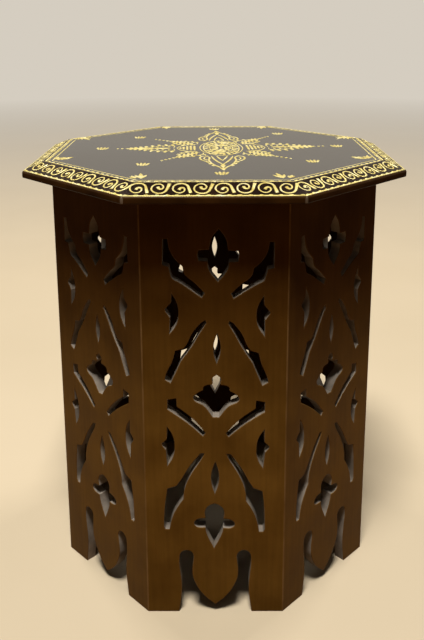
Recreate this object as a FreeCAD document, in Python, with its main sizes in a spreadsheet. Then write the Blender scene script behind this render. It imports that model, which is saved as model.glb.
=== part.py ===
# Octagonal side table: eight pierced panels mitred into a hollow base under a bevelled top.
# Millimetres and degrees. +Z is up, the origin is the middle of the base on the floor,
# and the front panel faces -Y.
import FreeCAD, Part
import math
import os
import Sketcher
from FreeCAD import Placement, Rotation, Vector

SIDES = 8
HALF_CORNER = 180 / SIDES
TURN_PER_SIDE = 360 / SIDES

SIDE_NAMES = ["front", "front_right", "right", "back_right",
              "back", "back_left", "left", "front_left"]
CLEAT_SIDES = ["front", "right", "back", "left"]

# Driving dimensions: alias, value, what it is
SIZES = [
    ("side_width", 140, "outer width of one panel, corner to corner"),
    ("panel_height", 444, "height of the panels, floor to underside of the top"),
    ("panel_thickness", 12, "board that the panels are sawn from"),
    ("arris_radius", 6, "rounding of the upright outer corners"),
    ("top_thickness", 16, "board that the top is made from"),
    ("top_overhang", 28, "top beyond the outer faces of the panels"),
    ("bevel_width", 21, "sloping border of the top, seen from above"),
    ("bevel_drop", 9, "fall of the sloping border"),
    ("rim_radius", 1.6, "rounding where the border meets the upright edge"),
    ("under_radius", 1.2, "rounding of the lower edge of the top"),
    ("stile_width", 17.2, "unpierced board from a corner to the openings"),
    ("head_rail", 35, "unpierced board from the top to the openings"),
    ("arch_height", 73, "top of the two slots beside the pendant"),
    ("arch_rail", 0.8, "lowest point of the pattern under the arch top"),
    ("foot_width", 32.5, "foot at the floor, from the corner"),
    ("foot_waist", 35.7, "widest part of the foot above the floor"),
    ("slot_width", 14.5, "slot between foot and pendant, at its round top"),
    ("slot_lean", 1, "slot set in from the foot's inner corner at the floor"),
    ("pendant_swell", 1.5, "pendant leaf wider than its neck, to each side"),
    ("pendant_lift", 8.5, "point of the pendant above the floor"),
    ("block_leg", 18, "corner block along each panel"),
    ("block_depth", 9, "corner block away from the panel"),
    ("block_height", 36, "corner block below the top"),
    ("cleat_gap", 5, "between a cleat's end and the corner block"),
    ("cleat_depth", 16, "cleat away from its panel"),
    ("cleat_height", 18, "cleat below the top"),
    ("shank_diameter", 3.4, "screw shank"),
    ("screw_head", 7, "screw head across its flat top"),
    ("screw_bite", 8, "screw beyond the cleat, in the top"),
    ("screw_clearance", 0.1, "hole wider and deeper than the screw"),
]
size = {alias: value for alias, value, note in SIZES}

doc = FreeCAD.newDocument("octagonal_side_table")
sheet = doc.addObject("Spreadsheet::Sheet", "Sizes")
for row, (alias, value, note) in enumerate(SIZES, start=1):
    sheet.set(f"A{row}", alias)
    sheet.set(f"B{row}", str(value))
    sheet.setAlias(f"B{row}", alias)
    sheet.set(f"C{row}", note)
doc.recompute()

# Distances that several pieces share, as expressions and as numbers
APOTHEM = f"(Sizes.side_width / 2 / tan({HALF_CORNER} deg))"
INNER = f"({APOTHEM} - Sizes.panel_thickness)"
apothem = size["side_width"] / 2 / math.tan(math.radians(HALF_CORNER))
inner = apothem - size["panel_thickness"]

sub_parts = []


def new_body(label, turn=0):
    """A body turned about the upright axis; its own -Y side faces the turned way."""
    body = doc.addObject("PartDesign::Body", label)
    body.Label = label
    body.Placement = Placement(Vector(), Rotation(Vector(0, 0, 1), turn))
    sub_parts.append(body)
    return body


def new_sketch(body, name, plane):
    """A sketch on one of the body's own origin planes."""
    sketch = body.newObject("Sketcher::SketchObject", name)
    support = [face for face in body.Origin.OriginFeatures if face.Role == plane][0]
    sketch.AttachmentSupport = [(support, "")]
    sketch.MapMode = "FlatFace"
    return sketch


def constrain(sketch, name, expression, *constraint):
    """A named dimension of a sketch that follows the sheet."""
    index = sketch.addConstraint(Sketcher.Constraint(*constraint))
    sketch.renameConstraint(index, name)
    sketch.setExpression(f"Constraints.{name}", expression)


def volume_after(feature, before, sign):
    """Recomputes and makes sure that a feature added or removed material."""
    doc.recompute()
    change = feature.Shape.Volume - before
    if change * sign <= 0:
        raise RuntimeError(f"{feature.Label} changed the volume by {change:.1f}")


def add_pad(body, name, sketch, length):
    pad = body.newObject("PartDesign::Pad", name)
    pad.Profile = sketch
    pad.setExpression("Length", length)
    volume_after(pad, 0, 1)
    return pad


def add_pocket(body, name, sketch, length=None):
    """A cut along the sketch's normal, right through where no length is given."""
    before = body.Shape.Volume
    pocket = body.newObject("PartDesign::Pocket", name)
    pocket.Profile = sketch
    pocket.Reversed = True
    if length is None:
        pocket.Type = "ThroughAll"
    else:
        pocket.setExpression("Length", length)
    volume_after(pocket, before, -1)


# Outlines of the openings
# An outline is a closed round of steps: (x, z) is reached by a straight edge and
# (via_x, via_z, x, z) by an arc. x is measured from the panel's middle, z from the floor.
def whole(half):
    """Closes a half outline, drawn downwards on the right, with its mirror image."""
    ends = [step[-2:] for step in half]
    left = [(-ends[-1][0], ends[-1][1])] if ends[-1][0] > 0 else []
    for step, (x, z) in zip(reversed(half[1:]), reversed(ends[:-1])):
        arc = (-step[0], step[1]) if len(step) == 4 else ()
        if x > 0 or arc:
            left.append(arc + (-x, z))
    return half + left


def mirrored(outline):
    """The same opening on the left half of the panel."""
    return [(-step[0], step[1]) if len(step) == 2
            else (-step[0], step[1], -step[2], step[3]) for step in outline]


def outline_edges(outline):
    """Lines and arcs of a closed outline, in order, each with its first and last point's
    number: a sketch counts an arc's points anticlockwise."""
    edges = []
    start = Vector(*outline[-1][-2:], 0)
    for step in outline:
        end = Vector(*step[-2:], 0)
        if (end - start).Length > 1e-6:
            edge, points = Part.LineSegment(start, end), (1, 2)
            if len(step) == 4:
                via = Vector(step[0], step[1], 0)
                edge = Part.Arc(start, via, end)
                if (via - start).cross(end - via).z < 0:
                    points = (2, 1)
            edges.append((edge, points))
        start = end
    return edges


# Openings on the centre line, downwards
CENTRE_OPENINGS = [
    # Upper bud
    whole([(0, 409), (6.3, 400), (9.2, 388.4), (18.6, 388), (19.2, 377.2),
           (9.9, 376.8), (9.6, 370.5), (0, 356.2)]),
    # Upper leaf
    whole([(0, 304), (2.9, 293.5), (2.9, 283), (0, 272.5)]),
    # Crown
    whole([(0, 260.9), (4.7, 256.2, 3.4, 252.4), (4.4, 250.4), (9.6, 249.8),
           (12.2, 248), (13, 244.2), (19.6, 240.4), (22.4, 235.6), (11.3, 228), (2.9, 216)]),
    # Lower leaf
    whole([(0, 169), (3.5, 157.4), (3.5, 145.6), (0, 134)]),
    # Lower bud
    whole([(0, 123.2), (5.8, 120.2), (9.2, 115.6), (9.2, 106), (18.4, 104),
           (20, 100.4), (18.2, 96.2), (9, 95), (7, 87), (0, 72.2)]),
]
# Openings that come in pairs, the right one of each, downwards
PAIRED_OPENINGS = [
    # Upper arm
    [(47.5, 398), (52.2, 398), (52.5, 372), (46.4, 370.6), (45.2, 364), (43, 359),
     (37, 355.8), (15, 340), (12.3, 345.2), (22.4, 355), (31.8, 363.8),
     (33.4, 371.2), (42.6, 381), (46.4, 389)],
    # Upper crescent
    [(43.7, 343.5), (44, 334.6), (49.9, 327.4), (49.7, 325), (45, 318.8),
     (45.7, 302), (36.4, 324, 43.7, 343.5)],
    # Upper leg
    [(11.3, 317.4), (15.5, 314.8), (29.2, 292.4), (32.4, 287), (39.8, 285),
     (42.4, 275.2), (48.8, 259.6), (50, 254.2), (44.4, 251), (38.8, 263.4),
     (34.6, 274.4), (25, 288.6), (16.5, 304.4), (10.7, 314.4)],
    # Lower arm
    [(38.8, 234.8), (47.4, 233.5), (47.6, 223), (28.2, 209), (12.3, 195.2),
     (9.9, 199), (23.6, 214.4), (38.6, 226.2)],
    # Lower crescent
    [(47.8, 204.5), (48, 191.6), (52.8, 186.6), (52.6, 184.2), (49, 180),
     (47.3, 163), (40, 184, 47.8, 204.5)],
    # Lower leg
    [(11.2, 177.6), (15, 177), (25.6, 163), (38.6, 141.6), (47.3, 138.7),
     (50.2, 112), (50.8, 95), (49.6, 92.4), (45.6, 92.4), (38, 116.6),
     (31.6, 127), (30.4, 138), (24, 154.4), (13.4, 171.6), (10.6, 175.4)],
]

# The field that the outlines are drawn in
drawn_ends = [step[-2:] for outline in CENTRE_OPENINGS + PAIRED_OPENINGS for step in outline]
drawn_reach = max(x for x, z in drawn_ends)
drawn_low = min(z for x, z in drawn_ends)
drawn_high = max(z for x, z in drawn_ends)


def fitted(outline):
    """An outline stretched to the field between the stiles, the head rail and the arches."""
    low = size["arch_height"] - size["arch_rail"]
    high = size["panel_height"] - size["head_rail"]
    across = (size["side_width"] / 2 - size["stile_width"]) / drawn_reach
    upward = (high - low) / (drawn_high - drawn_low)
    steps = []
    for step in outline:
        pairs = [step[:2], step[2:]] if len(step) == 4 else [step]
        steps.append(tuple(value for x, z in pairs
                           for value in (x * across, low + (z - drawn_low) * upward)))
    return steps


def fretwork():
    """Every opening of one panel above the foot arches."""
    openings = CENTRE_OPENINGS + PAIRED_OPENINGS
    openings = openings + [mirrored(outline) for outline in PAIRED_OPENINGS]
    return [fitted(outline) for outline in openings]


def foot_cut():
    """The space between two feet, with the pendant leaf hanging in it. The fractions are of
    the leaf's length and half width, and of the arch height for the foot's waist."""
    half_width = size["side_width"] / 2
    toe = half_width - size["foot_width"]
    waist = half_width - size["foot_waist"]
    slot_out = toe - size["slot_lean"]
    slot_in = slot_out - size["slot_width"]
    belly = slot_in + size["pendant_swell"]
    crown = size["arch_height"]
    spring = crown - size["slot_width"] / 2
    tip = size["pendant_lift"]
    drop = crown - tip
    return whole([
        (0, tip),
        (0.5 * belly, tip + 0.17 * drop, 0.9 * belly, tip + 0.42 * drop),
        (belly, tip + 0.56 * drop),
        (slot_in, spring),
        ((slot_in + slot_out) / 2, crown, slot_out, spring),
        (waist, 0.38 * crown),
        (toe, 0),
        (toe, -size["slot_lean"]),
    ])


def add_outlines(sketch, outlines):
    """Draws closed outlines and ties each edge's end to the start of the next."""
    ties = []
    for outline in outlines:
        edges = outline_edges(outline)
        first = sketch.addGeometry([edge for edge, points in edges], False)[0]
        for offset, (edge, points) in enumerate(edges):
            following = (offset + 1) % len(edges)
            ties.append(Sketcher.Constraint("Coincident", first + offset, points[1],
                                            first + following, edges[following][1][0]))
    sketch.addConstraint(ties)


def plan_sketch(body):
    """Section of a panel seen from above: mitred ends and rounded outer corners."""
    slope = math.tan(math.radians(HALF_CORNER))
    radius = size["arris_radius"]
    centre_y = -(apothem - radius)
    centre_x = -centre_y * slope
    reach = math.hypot(centre_x, centre_y) + radius
    lean = math.radians(HALF_CORNER)
    end_x, end_y = reach * math.sin(lean), -reach * math.cos(lean)
    sketch = new_sketch(body, "Plan", "XY_Plane")
    down = -math.pi / 2
    sketch.addGeometry([
        Part.LineSegment(Vector(-centre_x, -apothem, 0), Vector(centre_x, -apothem, 0)),
        Part.ArcOfCircle(Part.Circle(Vector(centre_x, centre_y, 0), Vector(0, 0, 1), radius),
                         down, down + lean),
        Part.LineSegment(Vector(end_x, end_y, 0), Vector(inner * slope, -inner, 0)),
        Part.LineSegment(Vector(inner * slope, -inner, 0), Vector(-inner * slope, -inner, 0)),
        Part.LineSegment(Vector(-inner * slope, -inner, 0), Vector(-end_x, end_y, 0)),
        Part.ArcOfCircle(Part.Circle(Vector(-centre_x, centre_y, 0), Vector(0, 0, 1), radius),
                         down - lean, down),
    ], False)
    outer, right_arc, right_mitre, back, left_mitre, left_arc = range(6)
    origin = (-1, 1)
    sketch.addConstraint([
        Sketcher.Constraint("Horizontal", outer),
        Sketcher.Constraint("Tangent", outer, 2, right_arc, 1),
        Sketcher.Constraint("Tangent", left_arc, 2, outer, 1),
        Sketcher.Constraint("Coincident", right_arc, 2, right_mitre, 1),
        Sketcher.Constraint("Coincident", right_mitre, 2, back, 1),
        Sketcher.Constraint("Coincident", back, 2, left_mitre, 1),
        Sketcher.Constraint("Coincident", left_mitre, 2, left_arc, 1),
        Sketcher.Constraint("PointOnObject", *origin, right_mitre),
        Sketcher.Constraint("PointOnObject", *origin, left_mitre),
        Sketcher.Constraint("PointOnObject", right_arc, 3, right_mitre),
        Sketcher.Constraint("PointOnObject", left_arc, 3, left_mitre),
        Sketcher.Constraint("Symmetric", back, 1, back, 2, -2),
        Sketcher.Constraint("Equal", right_arc, left_arc),
        Sketcher.Constraint("Angle", -2, 1, right_mitre, 1, lean),
    ])
    constrain(sketch, "outer_face", APOTHEM, "DistanceY", outer, 1, *origin, apothem)
    constrain(sketch, "inner_face", INNER, "DistanceY", back, 1, *origin, inner)
    constrain(sketch, "corner_round", "Sizes.arris_radius", "Radius", right_arc, radius)
    return sketch


BORE_RADIUS = "(Sizes.shank_diameter / 2 + Sizes.screw_clearance)"
BORE_DEPTH = "(Sizes.screw_bite + Sizes.screw_clearance)"
CLEAT_MIDDLE = f"({INNER} - Sizes.cleat_depth / 2)"
cleat_middle = inner - size["cleat_depth"] / 2


def screw_circle(body, name, turn=0):
    """Circle for the screw in the middle of a cleat, on the body's XY plane."""
    sketch = new_sketch(body, name, "XY_Plane")
    sketch.AttachmentOffset = Placement(Vector(), Rotation(Vector(0, 0, 1), turn))
    sketch.addGeometry(Part.Circle(Vector(0, -cleat_middle, 0), Vector(0, 0, 1), 1), False)
    sketch.addConstraint(Sketcher.Constraint("PointOnObject", 0, 3, -2))
    constrain(sketch, "place", CLEAT_MIDDLE, "DistanceY", 0, 3, -1, 1, cleat_middle)
    constrain(sketch, "bore", BORE_RADIUS, "Radius", 0, 1)
    return sketch


def side_panel(side, turn):
    """Pierced and mitred board with its feet and pendant."""
    body = new_body(f"side_panel_{side}", turn)
    add_pad(body, "Board", plan_sketch(body), "Sizes.panel_height")
    pattern = new_sketch(body, "Pattern", "XZ_Plane")
    add_outlines(pattern, fretwork())
    add_pocket(body, "Fretwork", pattern)
    feet = new_sketch(body, "Feet", "XZ_Plane")
    add_outlines(feet, [foot_cut()])
    add_pocket(body, "FootArches", feet)


def octagon_sketch(body, name, reach, expression):
    """A regular octagon with two sides square to Y, driven by its apothem."""
    sketch = new_sketch(body, name, "XY_Plane")
    radius = reach / math.cos(math.radians(HALF_CORNER))
    corners = []
    for corner in range(SIDES):
        angle = math.radians(HALF_CORNER - 90 + corner * TURN_PER_SIDE)
        corners.append(Vector(radius * math.cos(angle), radius * math.sin(angle), 0))
    sketch.addGeometry([Part.LineSegment(corners[k - 1], corners[k]) for k in range(SIDES)], False)
    guide = sketch.addGeometry(Part.Circle(Vector(), Vector(0, 0, 1), radius), True)
    rules = [Sketcher.Constraint("Coincident", guide, 3, -1, 1)]
    for k in range(SIDES):
        rules.append(Sketcher.Constraint("Coincident", k, 2, (k + 1) % SIDES, 1))
        rules.append(Sketcher.Constraint("PointOnObject", k, 1, guide))
    rules.extend(Sketcher.Constraint("Equal", 0, k) for k in range(1, SIDES))
    rules.append(Sketcher.Constraint("Horizontal", 0))
    sketch.addConstraint(rules)
    constrain(sketch, "apothem", expression, "DistanceY", 0, 1, -1, 1, reach)
    return sketch


def level_edges(shape, height):
    """Names of the edges of a shape that lie at one height."""
    return [f"Edge{index}" for index, edge in enumerate(shape.Edges, start=1)
            if all(abs(vertex.Z - height) < 1e-6 for vertex in edge.Vertexes)]


def table_top():
    """Octagonal board with a sloping border, rounded rim and pilot holes underneath."""
    body = new_body("table_top")
    body.setExpression("Placement.Base.z", "Sizes.panel_height")
    reach = apothem + size["top_overhang"]
    board = add_pad(body, "Board",
                    octagon_sketch(body, "Octagon", reach, f"{APOTHEM} + Sizes.top_overhang"),
                    "Sizes.top_thickness")
    border = body.newObject("PartDesign::Chamfer", "SlopingBorder")
    border.Base = (board, level_edges(board.Shape, size["top_thickness"]))
    border.ChamferType = "Two distances"
    border.setExpression("Size", "Sizes.bevel_drop")
    border.setExpression("Size2", "Sizes.bevel_width")
    volume_after(border, board.Shape.Volume, -1)
    rim = body.newObject("PartDesign::Fillet", "Rim")
    rim.Base = (border, level_edges(border.Shape, size["top_thickness"] - size["bevel_drop"]))
    rim.setExpression("Radius", "Sizes.rim_radius")
    volume_after(rim, border.Shape.Volume, -1)
    under = body.newObject("PartDesign::Fillet", "LowerEdge")
    under.Base = (rim, level_edges(rim.Shape, 0))
    under.setExpression("Radius", "Sizes.under_radius")
    volume_after(under, rim.Shape.Volume, -1)
    for side in CLEAT_SIDES:
        circle = screw_circle(body, f"Pilot_{side}", SIDE_NAMES.index(side) * TURN_PER_SIDE)
        add_pocket(body, f"ScrewPilot_{side}", circle, BORE_DEPTH)


def corner_block(name, turn):
    """Block glued into the angle between two panels, under the top."""
    body = new_body(name, turn)
    body.setExpression("Placement.Base.z", "Sizes.panel_height - Sizes.block_height")
    lean = math.radians(HALF_CORNER)
    corner = Vector(0, -inner / math.cos(lean), 0)
    along = Vector(math.cos(lean), math.sin(lean), 0)
    inward = Vector(-math.sin(lean), math.cos(lean), 0)
    leg_end = corner + along * size["block_leg"]
    back = leg_end + inward * size["block_depth"]
    points = [corner, leg_end, back, Vector(-back.x, back.y, 0), Vector(-leg_end.x, leg_end.y, 0)]
    sketch = new_sketch(body, "Section", "XY_Plane")
    sketch.addGeometry([Part.LineSegment(points[k], points[(k + 1) % 5]) for k in range(5)], False)
    right_leg, right_end, face, left_end, left_leg = range(5)
    rules = [Sketcher.Constraint("Coincident", k, 2, (k + 1) % 5, 1) for k in range(5)]
    rules += [
        Sketcher.Constraint("PointOnObject", right_leg, 1, -2),
        Sketcher.Constraint("Symmetric", right_leg, 2, left_leg, 1, -2),
        Sketcher.Constraint("Symmetric", face, 1, face, 2, -2),
        Sketcher.Constraint("Perpendicular", right_leg, right_end),
        Sketcher.Constraint("Angle", -1, 1, right_leg, 1, lean),
    ]
    sketch.addConstraint(rules)
    constrain(sketch, "corner", f"{INNER} / cos({HALF_CORNER} deg)",
              "DistanceY", right_leg, 1, -1, 1, -corner.y)
    constrain(sketch, "leg", "Sizes.block_leg", "Distance", right_leg, size["block_leg"])
    constrain(sketch, "depth", "Sizes.block_depth", "Distance", right_end, size["block_depth"])
    add_pad(body, "Block", sketch, "Sizes.block_height")


def cleat_section(body):
    """A rectangle against the inner face of the body's -Y panel, seen from above. It ends
    short of the corner blocks."""
    half_inside = inner * math.tan(math.radians(HALF_CORNER))
    half_length = half_inside - size["block_leg"] - size["cleat_gap"]
    near = inner - size["cleat_depth"]
    corners = [Vector(-half_length, -inner, 0), Vector(half_length, -inner, 0),
               Vector(half_length, -near, 0), Vector(-half_length, -near, 0)]
    sketch = new_sketch(body, "Section", "XY_Plane")
    sketch.addGeometry([Part.LineSegment(corners[k], corners[(k + 1) % 4]) for k in range(4)], False)
    rules = [Sketcher.Constraint("Coincident", k, 2, (k + 1) % 4, 1) for k in range(4)]
    rules += [Sketcher.Constraint("Horizontal", 2), Sketcher.Constraint("Vertical", 1),
              Sketcher.Constraint("Vertical", 3), Sketcher.Constraint("Symmetric", 0, 1, 0, 2, -2)]
    sketch.addConstraint(rules)
    constrain(sketch, "far", INNER, "DistanceY", 0, 1, -1, 1, inner)
    constrain(sketch, "near", f"{INNER} - Sizes.cleat_depth", "DistanceY", 2, 1, -1, 1, near)
    constrain(sketch, "length",
              f"2 * ({INNER} * tan({HALF_CORNER} deg) - Sizes.block_leg - Sizes.cleat_gap)",
              "DistanceX", 0, 1, 0, 2, 2 * half_length)
    return sketch


def cleat(side, turn):
    """Batten along a panel under the top, with a countersunk hole for its screw."""
    body = new_body(f"top_cleat_{side}", turn)
    body.setExpression("Placement.Base.z", "Sizes.panel_height - Sizes.cleat_height")
    batten = add_pad(body, "Batten", cleat_section(body), "Sizes.cleat_height")
    hole = body.newObject("PartDesign::Hole", "ScrewHole")
    hole.Profile = screw_circle(body, "HoleCentre")
    hole.Reversed = True
    hole.Threaded = False
    hole.DepthType = "ThroughAll"
    hole.HoleCutType = "Countersink"
    hole.HoleCutCustomValues = True
    hole.setExpression("Diameter", "Sizes.shank_diameter + 2 * Sizes.screw_clearance")
    hole.setExpression("HoleCutDiameter", "Sizes.screw_head + 2 * Sizes.screw_clearance")
    hole.HoleCutCountersinkAngle = 90
    volume_after(hole, batten.Shape.Volume, -1)


def screw(length):
    """A countersunk wood screw along +Z, its flat head at the origin."""
    shank = size["shank_diameter"] / 2
    head = size["screw_head"] / 2
    profile = [Vector(0, 0, 0), Vector(head, 0, 0), Vector(shank, 0, head - shank),
               Vector(shank, 0, length - 2 * shank), Vector(0, 0, length), Vector(0, 0, 0)]
    return Part.Face(Part.makePolygon(profile)).revolve(Vector(), Vector(0, 0, 1), 360)


def screws():
    """One screw up through each cleat into the top. Equal screws share a node, and a body
    would hold only one solid, so the group is one shape."""
    foot = Vector(0, -cleat_middle, size["panel_height"] - size["cleat_height"])
    solids = []
    for side in CLEAT_SIDES:
        turned = Placement(Vector(), Rotation(Vector(0, 0, 1), SIDE_NAMES.index(side) * TURN_PER_SIDE))
        solid = screw(size["cleat_height"] + size["screw_bite"])
        solid.Placement = turned.multiply(Placement(foot, Rotation()))
        solids.append(solid)
    group = doc.addObject("Part::Feature", "cleat_screws")
    group.Label = "cleat_screws"
    group.Shape = Part.makeCompound(solids)
    group.Placement = Placement()
    sub_parts.append(group)


def check(document):
    """Stops when an object failed or a sub-part has no sound solid."""
    document.recompute()
    for item in document.Objects:
        if "Invalid" in item.State or "Error" in item.State:
            raise RuntimeError(f"{item.Name} failed: {item.State}")
    for part in sub_parts:
        if part.Shape.isNull() or not part.Shape.isValid() or not part.Shape.Solids:
            raise RuntimeError(f"{part.Label} has no valid solid")


table_top()
for place, side_name in enumerate(SIDE_NAMES):
    side_panel(side_name, place * TURN_PER_SIDE)
for place in range(SIDES):
    corner_block(f"corner_block_{place + 1}", (place + 0.5) * TURN_PER_SIDE)
for side_name in CLEAT_SIDES:
    cleat(side_name, SIDE_NAMES.index(side_name) * TURN_PER_SIDE)
screws()
check(doc)

os.makedirs("parts", exist_ok=True)
for part in sub_parts:
    part.Shape.exportStep(f"parts/{part.Label}.step")
    print(part.Label, len(part.Shape.Solids), round(part.Shape.Volume))
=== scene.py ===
import math
import random

import bpy
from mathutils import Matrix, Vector


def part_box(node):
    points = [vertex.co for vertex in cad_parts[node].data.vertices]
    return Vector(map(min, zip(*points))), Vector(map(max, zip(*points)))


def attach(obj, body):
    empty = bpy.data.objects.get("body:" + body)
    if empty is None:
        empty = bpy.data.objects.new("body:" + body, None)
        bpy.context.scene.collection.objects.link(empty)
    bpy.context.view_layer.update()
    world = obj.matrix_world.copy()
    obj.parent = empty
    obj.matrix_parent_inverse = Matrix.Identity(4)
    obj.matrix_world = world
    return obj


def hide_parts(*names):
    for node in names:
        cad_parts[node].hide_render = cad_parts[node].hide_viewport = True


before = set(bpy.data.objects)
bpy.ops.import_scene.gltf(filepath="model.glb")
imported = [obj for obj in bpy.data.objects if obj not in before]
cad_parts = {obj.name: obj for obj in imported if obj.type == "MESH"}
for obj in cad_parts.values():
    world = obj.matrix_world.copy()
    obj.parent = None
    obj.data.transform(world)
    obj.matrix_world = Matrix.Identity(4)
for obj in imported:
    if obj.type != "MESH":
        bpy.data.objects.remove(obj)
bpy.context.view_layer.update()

BODY = "body"
MM = 0.001
SIDES = 8
TURN = 2 * math.pi / SIDES
LEAN = TURN / 2
SIDE_NAMES = ["front", "front_right", "right", "back_right",
              "back", "back_left", "left", "front_left"]

# Main sizes of the table. A distance or reach runs level from the upright axis to the
# middle of a side.
FACE_WIDTH = 140 * MM
FACE_DISTANCE = FACE_WIDTH / 2 / math.tan(LEAN)
BOARD_THICKNESS = 12 * MM
BOARD_HEIGHT = 444 * MM
CORNER_RADIUS = 2.5 * MM
TOP_LOW = BOARD_HEIGHT
TOP_HIGH = 460 * MM
PAINT_HEIGHT = 0.3 * MM
FIELD_HIGH = TOP_HIGH - PAINT_HEIGHT
OVERHANG = 28 * MM
RIM_REACH = FACE_DISTANCE + OVERHANG
SLOPE_WIDTH = 21 * MM
SLOPE_DROP = 9 * MM
FIELD_REACH = RIM_REACH - SLOPE_WIDTH


# Handling
def deselect():
    """Closes what is open and selects nothing."""
    if bpy.context.object and bpy.context.object.mode != "OBJECT":
        bpy.ops.object.mode_set(mode="OBJECT")
    bpy.ops.object.select_all(action="DESELECT")


def take(piece):
    """Selects one piece alone."""
    deselect()
    piece.select_set(True)
    bpy.context.view_layer.objects.active = piece


def settle(piece):
    """Puts a piece's place, turn and scale into its mesh."""
    take(piece)
    bpy.ops.object.transform_apply(location=True, rotation=True, scale=True)


def edit(piece):
    """Opens a piece with nothing selected in it."""
    take(piece)
    bpy.ops.object.mode_set(mode="EDIT")
    bpy.ops.mesh.select_all(action="DESELECT")
    bpy.ops.object.mode_set(mode="OBJECT")


def select_edges(piece, wanted):
    """Opens a piece with the edges selected whose two ends pass a test."""
    edit(piece)
    mesh = piece.data
    for edge in mesh.edges:
        edge.select = wanted(*(mesh.vertices[v].co for v in edge.vertices))
    bpy.ops.object.mode_set(mode="EDIT")
    bpy.ops.mesh.select_mode(type="EDGE")


def finish_shading(piece, degrees=32):
    """Smooth over soft bends, crisp over hard ones, with flat faces kept flat."""
    take(piece)
    bpy.ops.object.shade_smooth_by_angle(angle=math.radians(degrees))
    bpy.ops.object.modifier_add(type="WEIGHTED_NORMAL")
    piece.modifiers[-1].keep_sharp = True
    bpy.ops.object.modifier_apply(modifier=piece.modifiers[-1].name)


def copy_turned(piece, name, turn):
    """A copy with its own mesh, turned about the upright axis."""
    twin = piece.copy()
    twin.data = piece.data.copy()
    twin.name = twin.data.name = name
    bpy.context.scene.collection.objects.link(twin)
    twin.rotation_euler = (0, 0, turn)
    settle(twin)
    return twin


def join(name, pieces):
    """Several pieces as one, under the first one's mesh."""
    deselect()
    for piece in pieces:
        piece.select_set(True)
    bpy.context.view_layer.objects.active = pieces[0]
    bpy.ops.object.join()
    joined = bpy.context.object
    joined.name = joined.data.name = name
    return joined


def dress(piece, *materials):
    """Gives a piece these materials and no others."""
    piece.data.materials.clear()
    for material in materials:
        piece.data.materials.append(material)


# Materials
def new_material(name):
    """A new material with its nodes, its links and its main shader."""
    material = bpy.data.materials.new(name)
    material.use_nodes = True
    nodes = material.node_tree.nodes
    return material, nodes, material.node_tree.links, nodes["Principled BSDF"]


def place_pattern(nodes, links, stretch=(1, 1, 1)):
    """Object coordinates, stretched."""
    where = nodes.new("ShaderNodeTexCoord")
    mapping = nodes.new("ShaderNodeMapping")
    mapping.inputs["Scale"].default_value = stretch
    links.new(where.outputs["Object"], mapping.inputs["Vector"])
    return mapping.outputs["Vector"]


def noise(nodes, links, vector, scale, detail=3.0):
    """A cloudy value. A higher scale makes smaller clouds."""
    texture = nodes.new("ShaderNodeTexNoise")
    texture.inputs["Scale"].default_value = scale
    texture.inputs["Detail"].default_value = detail
    links.new(vector, texture.inputs["Vector"])
    return texture.outputs["Fac"]


def ramp(nodes, links, value, stops):
    """Colours along a value, as (place, colour)."""
    band = nodes.new("ShaderNodeValToRGB")
    while len(band.color_ramp.elements) < len(stops):
        band.color_ramp.elements.new(0.5)
    for element, (place, colour) in zip(band.color_ramp.elements, stops):
        element.position = place
        element.color = (*colour, 1)
    links.new(value, band.inputs["Fac"])
    return band.outputs["Color"]


def to_range(nodes, links, value, low, high, from_low=0.3, from_high=0.7):
    """A value stretched from one range to another and kept inside it."""
    span = nodes.new("ShaderNodeMapRange")
    span.inputs["From Min"].default_value = from_low
    span.inputs["From Max"].default_value = from_high
    span.inputs["To Min"].default_value = low
    span.inputs["To Max"].default_value = high
    links.new(value, span.inputs["Value"])
    return span.outputs["Result"]


def mix(nodes, links, share, first, second, blend="MIX"):
    """Two colours mixed. Each value is a number, a colour or another node's output."""
    blender = nodes.new("ShaderNodeMix")
    blender.data_type = "RGBA"
    blender.blend_type = blend
    for socket, value in (("Factor_Float", share), ("A_Color", first), ("B_Color", second)):
        target = next(s for s in blender.inputs if s.identifier == socket)
        if isinstance(value, (int, float)):
            target.default_value = value
        elif isinstance(value, tuple):
            target.default_value = (*value, 1)
        else:
            links.new(value, target)
    return next(s for s in blender.outputs if s.identifier == "Result_Color")


def calculated(nodes, links, operation, first, second):
    """Two values put together: the larger one, or one times the other."""
    node = nodes.new("ShaderNodeMath")
    node.operation = operation
    links.new(first, node.inputs[0])
    links.new(second, node.inputs[1])
    return node.outputs[0]


def bump(nodes, links, height, strength, distance):
    """Fine relief from a value, for the shader's normal."""
    ridge = nodes.new("ShaderNodeBump")
    ridge.inputs["Strength"].default_value = strength
    ridge.inputs["Distance"].default_value = distance
    links.new(height, ridge.inputs["Height"])
    return ridge.outputs["Normal"]


def worn_and_highlit(nodes, links, place, colour, under):
    """The colour worn through in patches where the piece is marked; the pale colour also stands in as a
    painted highlight on those edges.
    """
    worn = nodes.new("ShaderNodeAttribute")
    worn.attribute_name = "wear_and_highlight"
    patches = to_range(nodes, links, noise(nodes, links, place, 45, 4), 0.25, 1.0)
    patchy = calculated(nodes, links, "MULTIPLY", worn.outputs["Fac"], patches)
    return mix(nodes, links, patchy, colour, under)


def black_lacquer():
    """The field of the top: black gloss polished smooth."""
    material, nodes, links, shader = new_material("black_lacquer")
    place = place_pattern(nodes, links)
    cloud = noise(nodes, links, place, 6)
    colour = ramp(nodes, links, cloud, [(0.35, (0.015, 0.011, 0.007)), (0.7, (0.021, 0.015, 0.009))])
    links.new(colour, shader.inputs["Base Color"])
    links.new(to_range(nodes, links, cloud, 0.24, 0.27), shader.inputs["Roughness"])
    links.new(bump(nodes, links, noise(nodes, links, place, 700, 2), 0.02, 0.0002),
              shader.inputs["Normal"])
    return material


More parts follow.
